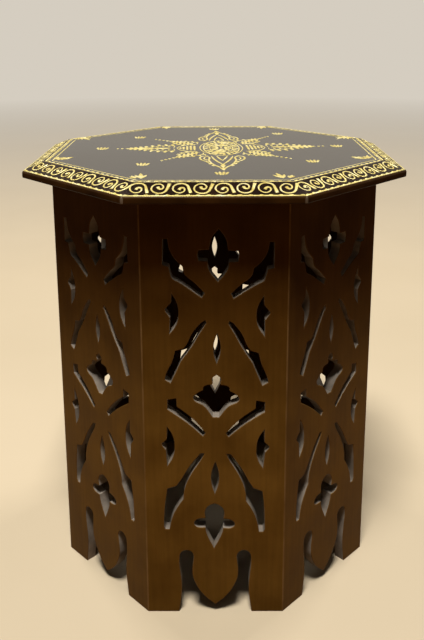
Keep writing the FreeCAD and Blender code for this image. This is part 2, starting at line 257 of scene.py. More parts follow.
def edge_lacquer(name, thick, thin):
    """Sloping border or rim of the top: black-brown, from its thick to its thin colour."""
    material, nodes, links, shader = new_material(name)
    place = place_pattern(nodes, links)
    cloud = noise(nodes, links, place, 30, 4)
    colour = ramp(nodes, links, cloud, [(0.3, thick), (0.7, thin)])
    # Where marked, the rim's corners take this pale grey as a painted glint.
    links.new(worn_and_highlit(nodes, links, place, colour, (0.32, 0.25, 0.17)), shader.inputs["Base Color"])
    links.new(to_range(nodes, links, cloud, 0.2, 0.3), shader.inputs["Roughness"])
    shader.inputs["IOR"].default_value = 1.25
    shader.inputs["Specular IOR Level"].default_value = 0.15
    shader.inputs["Specular Tint"].default_value = (1, 0.75, 0.5, 1)
    links.new(bump(nodes, links, noise(nodes, links, place, 500, 2), 0.04, 0.0003),
              shader.inputs["Normal"])
    return material


def gold_paint():
    """Yellow gold paint, thicker and paler where the brush rested."""
    material, nodes, links, shader = new_material("gold_paint")
    place = place_pattern(nodes, links)
    colour = ramp(nodes, links, noise(nodes, links, place, 130, 4),
                  [(0.3, (0.50, 0.365, 0.07)), (0.5, (0.64, 0.515, 0.145)), (0.72, (0.73, 0.63, 0.32))])
    links.new(colour, shader.inputs["Base Color"])
    links.new(to_range(nodes, links, noise(nodes, links, place, 300), 0.32, 0.5),
              shader.inputs["Roughness"])
    shader.inputs["Metallic"].default_value = 0.2
    links.new(bump(nodes, links, noise(nodes, links, place, 900, 2), 0.15, 0.0003),
              shader.inputs["Normal"])
    return material


def brown_lacquer():
    """The boards: dark brown satin over a straight grain, with painted shade that darkens them
    towards the head, paler at the corners where the paint is worn thin and a highlight is painted."""
    material, nodes, links, shader = new_material("brown_lacquer")
    place = place_pattern(nodes, links)
    along = place_pattern(nodes, links, (1, 1, 0.05))
    cloud = noise(nodes, links, place, 22, 4)
    grain = noise(nodes, links, along, 260, 3)
    colour = ramp(nodes, links, cloud,
                  [(0.3, (0.106, 0.0475, 0.007)), (0.7, (0.158, 0.076, 0.0125))])
    darker = ramp(nodes, links, grain, [(0.35, (0.68, 0.66, 0.62)), (0.6, (1, 1, 1))])
    colour = mix(nodes, links, 0.35, colour, darker, "MULTIPLY")
    # Painted shade by height: the colour darkens and reddens towards the head, under the overhanging
    # top, and darkens a little at the foot.
    height = nodes.new("ShaderNodeSeparateXYZ")
    links.new(place, height.inputs[0])
    uneven = nodes.new("ShaderNodeMath")
    uneven.operation = "MULTIPLY_ADD"
    links.new(noise(nodes, links, place, 9, 2), uneven.inputs[0])
    uneven.inputs[1].default_value = 0.08
    links.new(height.outputs["Z"], uneven.inputs[2])
    painted_shade = ramp(nodes, links, to_range(nodes, links, uneven.outputs[0], 0, 1, 0.04, 0.48),
                [(0.05, (0.86, 0.86, 0.84)), (0.35, (1, 1, 1)), (0.5, (0.94, 0.94, 0.94)),
                 (0.72, (0.57, 0.51, 0.46)), (0.95, (0.43, 0.37, 0.32))])
    colour = mix(nodes, links, 1.0, colour, painted_shade, "MULTIPLY")
    # Marked corners and arrises: worn paint, its pale colour also a painted highlight.
    colour = worn_and_highlit(nodes, links, place, colour, (0.21, 0.12, 0.045))
    links.new(colour, shader.inputs["Base Color"])
    links.new(to_range(nodes, links, cloud, 0.36, 0.48), shader.inputs["Roughness"])
    shader.inputs["IOR"].default_value = 1.3
    shader.inputs["Specular IOR Level"].default_value = 0.08
    shader.inputs["Specular Tint"].default_value = (1, 0.7, 0.35, 1)
    links.new(bump(nodes, links, grain, 0.06, 0.0004), shader.inputs["Normal"])
    return material


def sawn_lacquer():
    """Inside the sawn openings: the same stain on rough sawn edges, dull, and painted paler grey as
    light caught from above.
    """
    material, nodes, links, shader = new_material("sawn_lacquer")
    place = place_pattern(nodes, links)
    # Paler and greyer than the boards: painted light caught on the walls.
    colour = ramp(nodes, links, noise(nodes, links, place, 60, 4),
                  [(0.3, (0.12, 0.095, 0.07)), (0.7, (0.28, 0.23, 0.175))])
    links.new(colour, shader.inputs["Base Color"])
    links.new(to_range(nodes, links, noise(nodes, links, place, 160), 0.55, 0.75),
              shader.inputs["Roughness"])
    links.new(bump(nodes, links, noise(nodes, links, place, 700, 3), 0.3, 0.0005),
              shader.inputs["Normal"])
    return material


def bare_wood():
    """Blocks and cleats: plain softwood with darker late growth."""
    material, nodes, links, shader = new_material("bare_wood")
    rings = nodes.new("ShaderNodeTexWave")
    rings.inputs["Scale"].default_value = 60
    rings.inputs["Distortion"].default_value = 5
    rings.inputs["Detail"].default_value = 3
    links.new(place_pattern(nodes, links, (1, 1, 0.12)), rings.inputs["Vector"])
    colour = ramp(nodes, links, rings.outputs["Fac"],
                  [(0.2, (0.30, 0.18, 0.085)), (0.8, (0.46, 0.30, 0.16))])
    links.new(colour, shader.inputs["Base Color"])
    shader.inputs["Roughness"].default_value = 0.75
    links.new(bump(nodes, links, rings.outputs["Fac"], 0.2, 0.0004), shader.inputs["Normal"])
    return material


def zinc():
    """Screws: dull zinc with a brushed variation."""
    material, nodes, links, shader = new_material("zinc")
    place = place_pattern(nodes, links)
    cloud = noise(nodes, links, place, 500, 3)
    links.new(ramp(nodes, links, cloud, [(0.3, (0.42, 0.40, 0.36)), (0.7, (0.62, 0.60, 0.55))]),
              shader.inputs["Base Color"])
    shader.inputs["Metallic"].default_value = 1
    links.new(to_range(nodes, links, cloud, 0.3, 0.5), shader.inputs["Roughness"])
    return material


BLACK_LACQUER = black_lacquer()
BORDER_LACQUER = edge_lacquer("border_lacquer", (0.004, 0.0012, 0.0004), (0.015, 0.0045, 0.001))
# The rim and underside are lighter brown than the border: a painted warm reflection on the rim.
RIM_LACQUER = edge_lacquer("rim_lacquer", (0.016, 0.006, 0.0015), (0.048, 0.019, 0.004))
GOLD_PAINT = gold_paint()
BROWN_LACQUER = brown_lacquer()
SAWN_LACQUER = sawn_lacquer()
BARE_WOOD = bare_wood()
ZINC = zinc()


# The top
UPRIGHT_ROUNDING = 1.6 * MM
RIM_ROUNDING = 1.5 * MM
FIELD_ROUNDING = 1.2 * MM
UNDER_ROUNDING = 1.2 * MM
SCREW_HEAD_RADIUS = 3.5 * MM
PILOT_RADIUS = 1.8 * MM
PILOT_DEPTH = 8.1 * MM
SCREWS = 4
# The rim's corners, which take a painted glint, lie beyond this share of its reach
RIM_GLINT_REACH = 1.07
RIM_GLINT_LEVEL = 0.4


def octagon_board():
    """The top board: upright rim, sloping border and a flat field."""
    low_part = FIELD_HIGH - SLOPE_DROP - TOP_LOW
    bpy.ops.mesh.primitive_cylinder_add(
        vertices=SIDES, radius=RIM_REACH * (1 / math.cos(LEAN)), depth=low_part,
        location=(0, 0, TOP_LOW + low_part / 2), rotation=(0, 0, LEAN))
    board = bpy.context.object
    board.name = board.data.name = "lacquered_top"
    settle(board)
    edit(board)
    for face in board.data.polygons:
        face.select = face.normal.z > 0.9
    bpy.ops.object.mode_set(mode="EDIT")
    bpy.ops.mesh.extrude_region_move(TRANSFORM_OT_translate={"value": (0, 0, SLOPE_DROP)})
    shrink = FIELD_REACH / RIM_REACH
    bpy.ops.transform.resize(value=(shrink, shrink, 1), center_override=(0, 0, FIELD_HIGH))
    near = 0.01 * MM
    rim = TOP_LOW + low_part

    def upright(a, b):
        return abs(a.z - b.z) > MM and max(a.z, b.z) < rim + near

    def level_at(height):
        return lambda a, b: abs(a.z - height) < near and abs(b.z - height) < near

    for wanted, width, segments in ((upright, UPRIGHT_ROUNDING, 4),
                                    (level_at(rim), RIM_ROUNDING, 4),
                                    (level_at(FIELD_HIGH), FIELD_ROUNDING, 3),
                                    (level_at(TOP_LOW), UNDER_ROUNDING, 3)):
        select_edges(board, wanted)
        bpy.ops.mesh.bevel(offset=width, segments=segments, affect="EDGES")
    bpy.ops.object.mode_set(mode="OBJECT")
    return board


def bore_pilots(board):
    """Holes in the underside for the four screws, a little wider than they are."""
    low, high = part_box("cleat_screws")
    reach = (high.x - low.x) / 2 - SCREW_HEAD_RADIUS
    for turn in range(SCREWS):
        angle = turn * 2 * math.pi / SCREWS
        bpy.ops.mesh.primitive_cylinder_add(
            vertices=24, radius=PILOT_RADIUS, depth=2 * PILOT_DEPTH,
            location=(reach * math.cos(angle), reach * math.sin(angle), TOP_LOW))
        drill = bpy.context.object
        take(board)
        bpy.ops.object.modifier_add(type="BOOLEAN")
        board.modifiers[-1].object = drill
        board.modifiers[-1].operation = "DIFFERENCE"
        bpy.ops.object.modifier_apply(modifier=board.modifiers[-1].name)
        bpy.data.objects.remove(drill)


def lacquered_top():
    """The finished top: polished field, border and rim, with a painted glint at the rim's corners."""
    board = octagon_board()
    bore_pilots(board)
    finish_shading(board)
    dress(board, BLACK_LACQUER, BORDER_LACQUER, RIM_LACQUER)
    wear_and_highlight = board.data.attributes.new("wear_and_highlight", "FLOAT", "FACE")
    for facet, value in zip(board.data.polygons, wear_and_highlight.data):
        level = facet.center.z > FIELD_HIGH - 0.01 * MM
        sloping = facet.center.z > FIELD_HIGH - SLOPE_DROP + 0.8 * MM
        facet.material_index = 0 if level else 1 if sloping else 2
        # The rim's corners beyond this reach take a painted glint.
        at_corner = math.hypot(facet.center.x, facet.center.y) > RIM_REACH * RIM_GLINT_REACH
        value.value = RIM_GLINT_LEVEL if at_corner and not sloping else 0
    return board


# Painted strokes. A stroke is a list of (x, y, half width) in millimetres, and True where
# it closes on itself.
THINNEST_STROKE = 0.02
PAINT_CREST = PAINT_HEIGHT * 0.9


def painted(name, strokes, flatness):
    """Brush strokes on a level plane, pressed down to a share of their round height and
    level at the crest."""
    bpy.ops.curve.primitive_bezier_curve_add()
    drawing = bpy.context.object
    drawing.name = name
    curve = drawing.data
    curve.splines.clear()
    curve.dimensions = "3D"
    curve.resolution_u = 3
    curve.bevel_depth = MM
    curve.bevel_resolution = 1
    curve.use_fill_caps = True
    for points, closed in strokes:
        spline = curve.splines.new("BEZIER")
        spline.bezier_points.add(len(points) - 1)
        for point, (x, y, half) in zip(spline.bezier_points, points):
            point.co = (x * MM, y * MM, 0)
            point.radius = max(half, THINNEST_STROKE)
            point.handle_left_type = point.handle_right_type = "AUTO"
        spline.use_cyclic_u = closed
    take(drawing)
    bpy.ops.object.convert(target="MESH")
    mesh_piece = bpy.context.object
    mesh_piece.data.name = name
    bpy.ops.object.mode_set(mode="EDIT")
    bpy.ops.mesh.select_all(action="SELECT")
    bpy.ops.mesh.remove_doubles(threshold=0.002 * MM)
    bpy.ops.transform.resize(value=(1, 1, flatness), center_override=(0, 0, 0))
    bpy.ops.mesh.normals_make_consistent(inside=False)
    bpy.ops.object.mode_set(mode="OBJECT")
    for vertex in mesh_piece.data.vertices:
        vertex.co.z = min(vertex.co.z, PAINT_CREST)
    bpy.ops.object.shade_smooth()
    return mesh_piece


def turned(points, angle, x=0, y=0):
    """A stroke turned about its own zero and then moved."""
    c, s = math.cos(angle), math.sin(angle)
    return [(px * c - py * s + x, px * s + py * c + y, half) for px, py, half in points]


def petal(x, y, length, width, angle=0):
    """A leaf-shaped dab of paint that starts at (x, y)."""
    shape = [(0, 0.12), (0.22, 0.36), (0.5, 0.5), (0.8, 0.32), (1, 0.04)]
    return turned([(u * length, 0, half * width) for u, half in shape], angle, x, y), False


def bead(x, y, length, width, angle=0):
    """A round or oval dab centred on (x, y)."""
    shape = [(-0.5, 0), (-0.34, 0.38), (0, 0.5), (0.34, 0.38), (0.5, 0)]
    return turned([(u * length, 0, half * width) for u, half in shape], angle, x, y), False


def bar(x, y, length, width, angle):
    """A short straight stroke centred on (x, y)."""
    shape = [(-0.5, 0.3), (-0.3, 0.5), (0.3, 0.5), (0.5, 0.3)]
    return turned([(u * length, 0, half * width) for u, half in shape], angle, x, y), False


def line(points, width):
    """A stroke of even width, half as wide at its ends."""
    last = len(points) - 1
    return [(x, y, width / 2 * (0.5 if k in (0, last) else 1))
            for k, (x, y) in enumerate(points)], False


def both(stroke):
    """A stroke and its mirror image across the Y axis."""
    points, closed = stroke
    return [stroke, ([(-x, y, half) for x, y, half in points], closed)]


def oval(reach_x, reach_y, width, steps, start=0.0, end=2 * math.pi):
    """An oval line around zero, or the arc of it between two angles."""
    closed = end - start == 2 * math.pi
    count = steps if closed else steps + 1
    return [(reach_x * math.cos(start + (end - start) * k / steps),
             reach_y * math.sin(start + (end - start) * k / steps), width / 2)
            for k in range(count)], closed


# The border. One scroll runs from its curled-in heart to its foot.
SCROLL = [(-2.8, -2.3, 1.5), (-1.8, 0.1, 1.35), (0.4, 1.2, 0.95), (2.3, -1.2, 0.75),
          (1.3, -5.0, 0.7), (-2.6, -6.9, 0.7), (-6.8, -4.5, 0.72), (-8.5, 0.3, 0.75),
          (-6.4, 5.5, 0.8), (-0.9, 7.6, 0.85), (4.0, 5.4, 1.0), (6.4, -1.0, 1.3), (7.8, -7.3, 1.6)]
SLOPE_LENGTH = math.hypot(SLOPE_WIDTH, SLOPE_DROP) / MM
SCROLL_LINE = 9.2
SCROLL_PITCH = 18.6
SCROLL_BRUSH = 1.12
BORDER_FLATNESS = 0.22
# For each side: how many scrolls, and 1 or -1 for which way over the first one lies
SCROLLS = [(8, 1), (9, 1), (8, 1), (9, 1), (8, 1), (9, 1), (8, 1), (9, -1)]
SCALLOPS_BELOW = 18


def scroll_band(count, first, dice):
    """Scrolls along one side of the border, every other one turned over."""
    length = (FIELD_REACH + RIM_REACH) * math.tan(LEAN) / MM
    pitch = (length - 1.5) / count
    strokes = []
    for k in range(count):
        over = -first if k % 2 else first
        size = 0.97 + 0.06 * dice.random()
        tilt = math.radians(dice.uniform(-3, 3))
        size *= min(1, pitch / SCROLL_PITCH) * (1 if count == 8 else 0.96)
        points = [(x * size, y * over * size, half * SCROLL_BRUSH) for x, y, half in SCROLL]
        strokes.append((turned(points, tilt, (k - (count - 1) / 2) * pitch + 0.4,
                               -SCROLL_LINE + dice.uniform(-0.3, 0.3)), False))
    return strokes


def lower_line(dice):
    """The line on the low edge of the border with its row of scallops."""
    reach = (RIM_REACH / MM - 2.2) * math.tan(LEAN)
    drop = -SLOPE_LENGTH + 2.4
    strokes = [([(-reach, drop, 1), (-reach / 3, drop, 1), (reach / 3, drop, 1),
                 (reach, drop, 1)], False)]
    last = SCALLOPS_BELOW - 1
    for k in range(SCALLOPS_BELOW):
        x = (k - last / 2) * 2 * (reach - 3) / last + dice.uniform(-0.5, 0.5)
        strokes.append(bead(x, drop + 0.9, 4.2 + dice.uniform(-0.5, 0.6), 2.2))
    return strokes


def border():
    """Everything painted on the sloping border, side by side around the top."""
    dice = random.Random(7)
    pieces = []
    slope = math.atan2(SLOPE_DROP, SLOPE_WIDTH)
    for side in range(SIDES):
        strokes = scroll_band(*SCROLLS[side], dice) + lower_line(dice)
        band = painted(f"band_{side}", strokes, BORDER_FLATNESS)
        band.rotation_euler = (slope, 0, 0)
        band.location = (0, -FIELD_REACH, FIELD_HIGH)
        settle(band)
        band.rotation_euler = (0, 0, side * TURN)
        settle(band)
        pieces.append(band)
    return join("gilded_border", pieces)


# The field
OUTER_LINE = FIELD_REACH / MM - 1.9
INNER_LINE = FIELD_REACH / MM - 8.4
SCALLOPS_AROUND = 19
FIELD_FLATNESS = 0.2


def field_lines():
    """Two lines around the field with a row of scallops between them."""
    dice = random.Random(11)
    strokes = []
    for side in range(SIDES):
        angle = side * TURN
        for reach, width in ((OUTER_LINE, 1.7), (INNER_LINE, 1.4)):
            half = reach * math.tan(LEAN)
            points = [(-half, -reach, width / 2), (-half / 3, -reach, width / 2),
                      (half / 3, -reach, width / 2), (half, -reach, width / 2)]
            strokes.append((turned(points, angle), False))
        half = (OUTER_LINE - 3) * math.tan(LEAN)
        for k in range(SCALLOPS_AROUND):
            x = (k - (SCALLOPS_AROUND - 1) / 2) * 2 * half / SCALLOPS_AROUND + dice.uniform(-0.4, 0.4)
            points, closed = bead(x, -OUTER_LINE + 1.7, 4.2 + dice.uniform(-0.6, 0.6), 3.2)
            strokes.append((turned(points, angle), closed))
    return strokes


# The star in the middle of the field, drawn around zero and then moved to its place
STAR_PLACE = (8, 6)
LONG_ARM_LENGTH = 128
HATCHING = 2.9
# Directions of the arms and the heart, in degrees
HEART = 2
LONG_ARMS = [2.6, 180.6]
SIDE_ARMS = [4.2, 182.4]
SHORT_ARMS = [54, 142.5, 231, 317]
# Where the small flowers around the star stand
SMALL_FLOWERS = [(-91, 81.5), (-72, -91), (80, 109), (101.5, -77), (0, 149), (7.5, -137), (140, 15),
                 (-126, 3)]


def heart_of_star():
    """Oval rosette in the middle of the star, its dabs as uneven as a hand sets them."""
    dice = random.Random(3)
    strokes = [bead(0, 13, 15, 5.4, math.pi / 2), bead(0, -14, 15, 5.6, math.pi / 2),
               bead(-4.8, 1, 17, 4.2, math.pi / 2), bead(4.9, -1, 18, 4.2, math.pi / 2),
               bead(0, 0, 6, 3, math.pi / 2)]
    for reach, long_way, count, width in ((9.2, 2.3, 11, 7), (16.2, 2.4, 24, 5.2)):
        for k in range(count):
            angle = (k + 0.5 + dice.uniform(-0.18, 0.18)) * 2 * math.pi / count
            far = reach * dice.uniform(0.93, 1.07)
            strokes.append(bead(far * math.cos(angle), long_way * far * math.sin(angle),
                                dice.uniform(0.8, 1.2) * (5 + 9 * abs(math.sin(angle))),
                                dice.uniform(0.75, 1.2) * width,
                                math.atan2(long_way * math.sin(angle), math.cos(angle))))
    strokes.append(oval(13, 31, 1.3, 20))
    strokes.append(oval(20, 49, 1.7, 24))
    for side in (0, math.pi):
        strokes.append(oval(24, 47, 1.4, 10, side - 1.0, side + 1.0))
    return strokes


def long_arm():
    """Pointed arches one in another, along +Y, with a pair of ringed leaves at their feet."""
    strokes = []
    for outline, width in (
            ([(18, 49), (13.5, 60), (14.2, 74), (12.3, 88), (8.4, 102), (4, 112),
              (1.6, 120), (0.2, LONG_ARM_LENGTH)], 2.4),
            ([(11.5, 52), (9, 68), (5, 84), (0.2, 98)], 2.6),
            ([(5.5, 52), (3.6, 64), (0.2, 77)], 2.6),
            ([(15, 50), (21.8, 55), (23.4, 66), (19.6, 78), (15.8, 83)], 2.5),
            ([(16.4, 55), (19, 62), (18.6, 70), (15.6, 76)], 2.0)):
        strokes += both(line(outline, width))
    for x, y in ((15.4, 86), (13, 95), (9.8, 104)):
        strokes += both(bead(x, y, 6.5, 3.6, math.radians(110)))
    strokes += [petal(0, 97, 17, 6.5, math.pi / 2),
                petal(0, LONG_ARM_LENGTH - 16, 16, 3.6, math.pi / 2)]
    return strokes


def side_arm():
    """A hatched bud and a long fringed leaf, along +X, with three dots at its tip."""
    strokes = [petal(57, 0, 22, 8), petal(72, 0, 36, 10)]
    for x, tall in ((30.2, 30), (34.3, 31), (38.4, 26), (42.4, 17), (46, 8)):
        strokes.append(bar(x, 0, tall, HATCHING, math.pi / 2))
    for turn in (-1, 1):
        strokes += [
            line([(26.5, 23 * turn), (36, 22 * turn), (45.5, 13.5 * turn), (50, 0)], 2),
            line([(53.5, 3 * turn), (54.5, 17 * turn), (70, 15.5 * turn), (84, 7 * turn),
                  (100, 1 * turn)], 1.6)]
        for x, y, long_way in ((55, 20.5, 12), (62.5, 21, 12), (70.5, 19.5, 11.5), (78, 15.6, 11),
                               (85, 11, 9.5), (91, 8.2, 8), (96.5, 6, 7), (101.5, 4.2, 5.5)):
            strokes.append(bead(x, y * turn, long_way, 4.5, turn * math.radians(80)))
        for x in (59, 65.5, 72, 78.5):
            strokes.append(bead(x, (21.4 - 0.18 * x) * turn, 5.5, 3.2, turn * math.radians(75)))
    strokes += [bead(105, 0, 5, 5), bead(111.5, 0, 3.2, 5.4), bead(116.5, 0, 2.8, 4.8)]
    return strokes


def short_arm(degrees):
    """A small hatched leaf, along +X, with four dots at its tip. Its hatching stands upright
    on the table once the arm is turned to its place."""
    across = abs(math.cos(math.radians(degrees)))
    hatch = math.radians(90 - degrees)
    strokes = [petal(38, 0, 38, 4.5)]
    count = int(34 * across / 3.9)
    for k in range(count):
        share = (k + 0.5) / count
        tall = 19 * math.sin(math.pi * (0.12 + 0.8 * share)) / across
        strokes.append(bar(40 + 34 * share, 0, min(tall, 23), HATCHING, hatch))
    for turn in (-1, 1):
        strokes.append(line([(37, 4 * turn), (44, 10 * turn), (55, 10.5 * turn), (67, 5 * turn),
                             (78, 0)], 2))
        for x, y in ((45, 13), (53, 13.2), (61, 10.6)):
            strokes.append(bead(x, y * turn, 5, 3.6, turn * math.radians(68)))
    for x, across_dot in ((80.5, 4.6), (86.5, 4.4), (92.5, 4.1), (98.5, 3.7)):
        strokes.append(bead(x, 0, 0.8 * across_dot, across_dot))
    return strokes


def star():
    """The heart and its eight arms, each turned to its direction."""
    strokes = []
    arms = [(heart_of_star(), HEART)]
    arms += [(long_arm(), degrees) for degrees in LONG_ARMS]
    arms += [(side_arm(), degrees) for degrees in SIDE_ARMS]
    arms += [(short_arm(degrees), degrees) for degrees in SHORT_ARMS]
    for arm, degrees in arms:
        strokes += [(turned(points, math.radians(degrees)), closed) for points, closed in arm]
    return [(turned(points, 0, *STAR_PLACE), closed) for points, closed in strokes]


def small_flower(x, y):
    """Four upright dabs that fan out a little."""
    return [bar(x + dx, y, length, 3, math.radians(90 + lean))
            for dx, lean, length in ((-4.9, 12, 11), (-1.6, 4, 14), (1.6, -4, 14), (4.9, -12, 11))]


# Two sprigs in each corner of the field: where each starts, and its middle leaf's length,
# width and direction
CORNER_SPRIGS = [
    (-67, -159, 23, 6.5, 97), (-73, -158, 12, 5.5, 112),
    (64, -159, 23, 6.5, 103), (70, -158, 13, 5.5, 74),
    (159, -63, 18, 9, 145), (161, -63, 19, 5.5, 84),
    (161, 84, 24, 6, 236), (164, 82, 18, 5.5, 262),
    (65, 175, 23, 7, 262), (73, 175, 12, 5, 290),
    (-66, 175, 22, 7, 279), (-73, 174, 11, 5, 250),
    (-165, 85, 25, 6.5, 307), (-166, 83, 14, 5, 275),
    (-164, -63, 20, 8.5, 42), (-165, -62, 14, 5.5, 92)]


def field():
    """Everything painted on the flat field."""
    strokes = field_lines() + star()
    for place in SMALL_FLOWERS:
        strokes += small_flower(*place)
    for x, y, length, width, degrees in CORNER_SPRIGS:
        strokes.append(petal(x, y, length, width * 0.8, math.radians(degrees)))
        for fan in (-20, 20):
            strokes.append(petal(x, y, length * 0.72, width * 0.62, math.radians(degrees + fan)))
    piece = painted("gilded_field", strokes, FIELD_FLATNESS)
    piece.location = (0, 0, FIELD_HIGH)
    settle(piece)
    return piece


# The boards. Outlines are in millimetres from the board's middle and the floor. A third
# value, 1, marks a point where the saw went round softly.
# Right halves of the openings in the middle: upper bud, upper leaf, crown, lower leaf, lower bud
CENTRE_OPENINGS = [
    [(0, 414), (6.5, 405, 1), (9, 393.5), (18.5, 393), (19.5, 388, 1), (18.5, 382.5),
     (10, 382), (9.5, 376, 1), (0, 362)],
    [(0, 310.5), (3, 300, 1), (3, 289.5, 1), (0, 279)],
    [(0, 267.5), (4.5, 263, 1), (3.5, 259, 1), (4.5, 257), (9.5, 256.5, 1), (12.5, 254.5, 1),
     (13, 251), (19.5, 247, 1), (22.5, 242.5, 1), (11.5, 234, 1), (3, 222.5)],
    [(0, 174), (3.5, 162, 1), (3.5, 150, 1), (0, 138)],
    [(0, 127), (5.5, 124.5, 1), (9.5, 118.5, 1), (9, 110), (18, 108, 1), (20.5, 104, 1),
     (18, 100, 1), (9, 99), (8, 93.5, 1), (0, 75.5)],
]
# The right one of each pair: upper arm, crescent and leg, then lower arm, crescent and leg
PAIRED_OPENINGS = [
    [(47.5, 403), (52, 402.5), (52.5, 377.5), (46.5, 376), (45, 369.5, 1), (43, 364.5, 1),
     (37, 361, 1), (15, 346), (12.5, 351), (22.5, 361, 1), (31.5, 369, 1), (33.5, 376.5),
     (42, 385.5, 1), (46, 394, 1)],
    [(43.5, 349.5), (44, 340.5), (50, 333.5), (49.5, 331.5), (45, 325), (45.5, 308.5),
     (39, 318.5, 1), (37, 330.5, 1), (39, 341, 1)],
    [(11.5, 323.5), (15.5, 321), (23.5, 310.5, 1), (29, 298.5, 1), (32.5, 293.5), (40, 291.5),
     (42.5, 281.5, 1), (49, 266, 1), (50, 261), (44.5, 257.5), (39, 270, 1), (34.5, 281),
     (25, 295, 1), (16.5, 310.5, 1), (10.5, 320.5)],
    [(39, 241.5), (47.5, 240), (47.5, 229.5), (28, 215.5, 1), (12.5, 201.5), (10, 205.5),
     (23.5, 221, 1), (38.5, 233)],
    [(48, 211), (48, 197.5), (53, 192.5), (52.5, 190), (49, 185.5), (47.5, 168),
     (42, 178, 1), (40.5, 189.5, 1), (42.5, 201.5, 1)],
    [(11, 183), (15, 182.5), (25.5, 168, 1), (33.5, 153.5, 1), (38.5, 145.5), (47.5, 142.5),
     (50, 122, 1), (51, 99), (49.5, 96), (45.5, 96), (42.5, 110, 1), (38, 120.5, 1),
     (31.5, 131), (30.5, 142, 1), (23.5, 160, 1), (13.5, 177, 1)],
]
# Right half of the board itself, with waste at the head and the side: foot, slot and half
# of the hanging leaf
FOOT = [(80, 452), (80, 0), (37.5, 0), (34.4, 27.7, 1), (36.5, 65.7, 1), (34.4, 70.9, 1),
        (29.2, 73, 1), (24.1, 70.9, 1), (22, 65.7), (23.5, 45, 1), (21.2, 35.6, 1),
        (11.8, 19.5, 1), (0, 8.5)]
SOFT_EDGE = 0.7 * MM
# Points closer than this are one
WELD = 0.001 * MM
# Walls nearer to a corner than this are mitres, the others are sawn
MITRE_ZONE = 8 * MM
# Wear and painted highlight at the corners keep within this strip
WEAR_AND_HIGHLIGHT_STRIP = 2 * MM
CORNER_WEAR_AND_HIGHLIGHT = 0.8
ARRIS_WEAR_AND_HIGHLIGHT = 0.35
# How far the template had slipped on the front board: where it held, its lean to the right
# for each millimetre of height and its fall to the right for each millimetre of width
SLIP_HOLD = 150
SLIP_LEAN = 0.016
SLIP_FALL = 0.032


def mirrored(points):
    """An outline's mirror image across the board's middle."""
    return [(-point[0], *point[1:]) for point in points]


def whole(half):
    """A half outline drawn on the right, closed with its mirror image."""
    left = mirrored([point for point in reversed(half) if point[0] > 0])
    return half + left


def anticlockwise(points):
    """Whether an outline runs anticlockwise."""
    area = sum(a[0] * b[1] - b[0] * a[1] for a, b in zip(points, points[1:] + points[:1]))
    return area > 0


def slipped(points):
    """An opening as it is sawn when the template has slipped a little."""
    return [(x + SLIP_LEAN * (z - SLIP_HOLD), z - SLIP_FALL * x, *rest) for x, z, *rest in points]


def sawn_board(slip):
    """One pierced board: a filled drawing with sawn openings and soft arrises, stood up
    and mitred at both ends."""
    openings = [whole(half) for half in CENTRE_OPENINGS] + PAIRED_OPENINGS
    openings += [mirrored(points) for points in PAIRED_OPENINGS]
    if slip:
        openings = [slipped(points) for points in openings]
    outlines = [(whole(FOOT), True)] + [(points, False) for points in openings]
    bpy.ops.curve.primitive_bezier_curve_add()
    board = bpy.context.object
    board.name = "pierced_board_front"
    curve = board.data
    curve.splines.clear()
    curve.dimensions = "2D"
    curve.fill_mode = "BOTH"
    curve.resolution_u = 5
    curve.extrude = BOARD_THICKNESS / 2 - SOFT_EDGE
    curve.bevel_depth = SOFT_EDGE
    curve.bevel_resolution = 1
    curve.offset = -SOFT_EDGE
    # The board runs anticlockwise and its openings clockwise, so that the offset keeps inside
    # the board at both
    for points, solid in outlines:
        if anticlockwise(points) != solid:
            points = points[::-1]
        spline = curve.splines.new("BEZIER")
        spline.bezier_points.add(len(points) - 1)
        for point, place in zip(spline.bezier_points, points):
            point.co = (place[0] * MM, place[1] * MM, 0)
            handle = "AUTO" if len(place) == 3 else "VECTOR"
            point.handle_left_type = point.handle_right_type = handle
        spline.use_cyclic_u = True
    take(board)
    bpy.ops.object.convert(target="MESH")
    board = bpy.context.object
    board.data.name = board.name
    board.rotation_euler = (math.pi / 2, 0, 0)
    board.location = (0, -FACE_DISTANCE + BOARD_THICKNESS / 2, 0)
    settle(board)
    trim(board)
    return board


def slice_away(place, direction):
    """Cuts off what lies beyond a plane and closes the cut."""
    bpy.ops.mesh.select_all(action="SELECT")
    bpy.ops.mesh.bisect(plane_co=place, plane_no=direction, clear_outer=True, use_fill=True,
                        threshold=WELD)


def trim(board):
    """Head cut square, ends mitred, outer corners rounded."""
    bpy.ops.object.mode_set(mode="EDIT")
    bpy.ops.mesh.select_all(action="SELECT")
    bpy.ops.mesh.remove_doubles(threshold=WELD)
    slice_away((0, 0, BOARD_HEIGHT), (0, 0, 1))
    round_y = -FACE_DISTANCE + CORNER_RADIUS
    round_x = -round_y * math.tan(LEAN)
    for side in (-1, 1):
        slice_away((0, 0, 0), (side * math.cos(LEAN), math.sin(LEAN), 0))
        centre = Vector((side * round_x, round_y, 0))
        for share in (0.25, 0.5, 0.75, 1.0):
            normal = Vector((side * math.sin(LEAN * share), -math.cos(LEAN * share), 0))
            slice_away(centre + normal * CORNER_RADIUS, normal)
    bpy.ops.mesh.select_all(action="SELECT")
    bpy.ops.mesh.remove_doubles(threshold=WELD)
    bpy.ops.mesh.normals_make_consistent(inside=False)
    bpy.ops.object.mode_set(mode="OBJECT")


